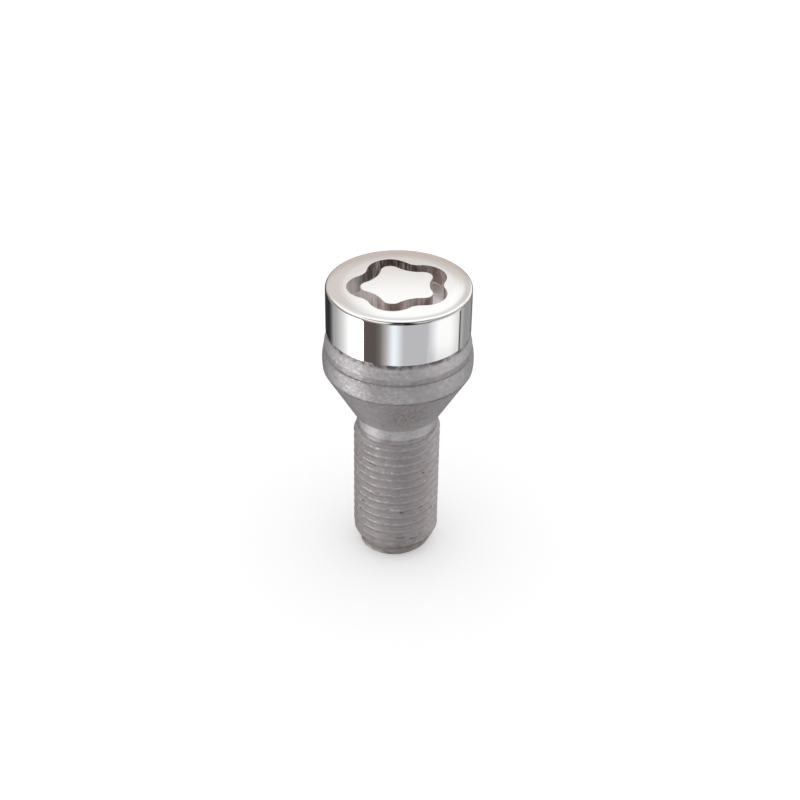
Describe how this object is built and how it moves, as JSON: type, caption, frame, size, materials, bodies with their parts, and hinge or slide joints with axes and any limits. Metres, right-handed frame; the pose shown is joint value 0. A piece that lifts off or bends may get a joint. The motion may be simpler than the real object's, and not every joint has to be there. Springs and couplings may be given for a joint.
{
  "type": "wheel bolt",
  "caption": "Locking wheel bolt with a 60 degree conical seat, a bright round head and a wavy key groove in its face.",
  "frame": {"origin": "centre of the flat tip face, on which the bolt stands", "axes": "+Z along the bolt's axis, from the tip to the head; +X to the right in the picture's view, which looks along +Y"},
  "size_m": [0.024, 0.024, 0.049],
  "materials": {
    "wheel_bolt": "matt zinc coated steel body, bright plated and polished head"
  },
  "bodies": {
    "root": {"wheel_bolt": "wheel_bolt"}
  },
  "joints": []
}
